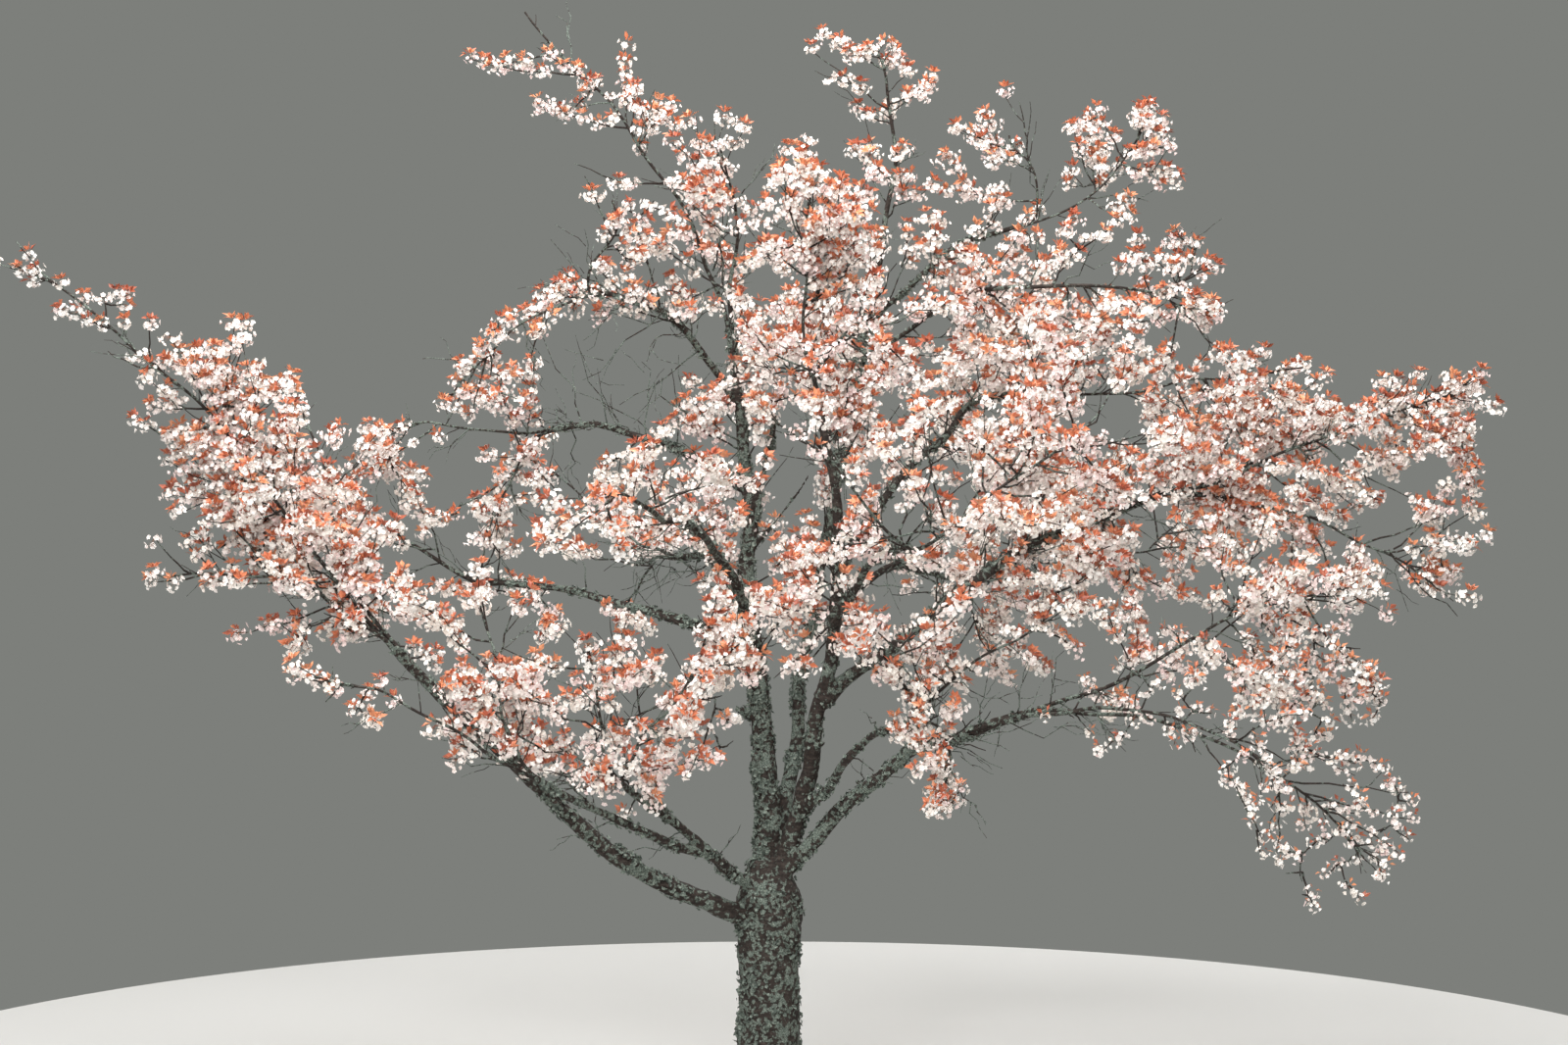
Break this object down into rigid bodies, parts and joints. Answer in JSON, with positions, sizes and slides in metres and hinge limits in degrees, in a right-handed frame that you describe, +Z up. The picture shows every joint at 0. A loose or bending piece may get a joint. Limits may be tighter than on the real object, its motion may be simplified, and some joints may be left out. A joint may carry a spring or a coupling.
{
  "type": "cherry blossom tree",
  "caption": "Mature flowering cherry with a short flared trunk, upright stems, long arching boughs and an open layered crown in full pale pink blossom.",
  "frame": {"origin": "centre of the flat cut under the trunk, at ground level", "axes": "+Z up, +X to the right and +Y away from someone who faces the tree's best side"},
  "size_m": [9.0509, 6.2512, 6.9657],
  "materials": {
    "bark": "rough dark brown bark with grey-green lichen",
    "blossom": "soft matt petals, white to pale pink",
    "young_leaf": "thin coppery young leaves",
    "twig": "smooth brown twig bark with lichen"
  },
  "bodies": {
    "root": {"trunk": "bark", "stem_left": "bark", "stem_back": "bark", "stem_right": "bark", "bough_left_low": "bark", "bough_left_inner": "bark", "bough_left_under": "bark", "bough_left_middle": "bark", "bough_left_upper": "bark", "bough_arch": "bark", "bough_front_left": "bark", "bough_back_left": "bark", "bough_right_low": "bark", "bough_front_low": "bark", "bough_right_main": "bark", "bough_right_upper": "bark", "bough_front_right": "bark", "bough_top_right": "bark", "bough_upper_right": "bark", "bough_back_right": "bark", "bough_back_middle": "bark", "blossom_top_left": "blossom", "blossom_top_inner": "blossom", "blossom_top_middle": "blossom", "blossom_centre_high": "blossom", "blossom_centre_front": "blossom", "blossom_arch": "blossom", "blossom_arch_top": "blossom", "blossom_left_upper": "blossom", "blossom_left_hang": "blossom", "blossom_left_middle": "blossom", "blossom_left_far": "blossom", "blossom_left_outer": "blossom", "blossom_left_crown": "blossom", "blossom_left_under": "blossom", "blossom_left_inner": "blossom", "blossom_front_left": "blossom", "blossom_front_inner": "blossom", "blossom_front_high": "blossom", "blossom_back_left": "blossom", "blossom_back_left_low": "blossom", "blossom_right_low": "blossom", "blossom_weeping_outer": "blossom", "blossom_weeping_inner": "blossom", "blossom_front_hang": "blossom", "blossom_front_low": "blossom", "blossom_centre_low": "blossom", "blossom_right_far": "blossom", "blossom_right_drooping": "blossom", "blossom_right_upper": "blossom", "blossom_right_high": "blossom", "blossom_centre_right": "blossom", "blossom_centre": "blossom", "blossom_top_right": "blossom", "blossom_top_right_inner": "blossom", "blossom_upper_right": "blossom", "blossom_back_right": "blossom", "blossom_back_right_low": "blossom", "blossom_back_high": "blossom", "blossom_back_middle": "blossom"}
  },
  "joints": []
}
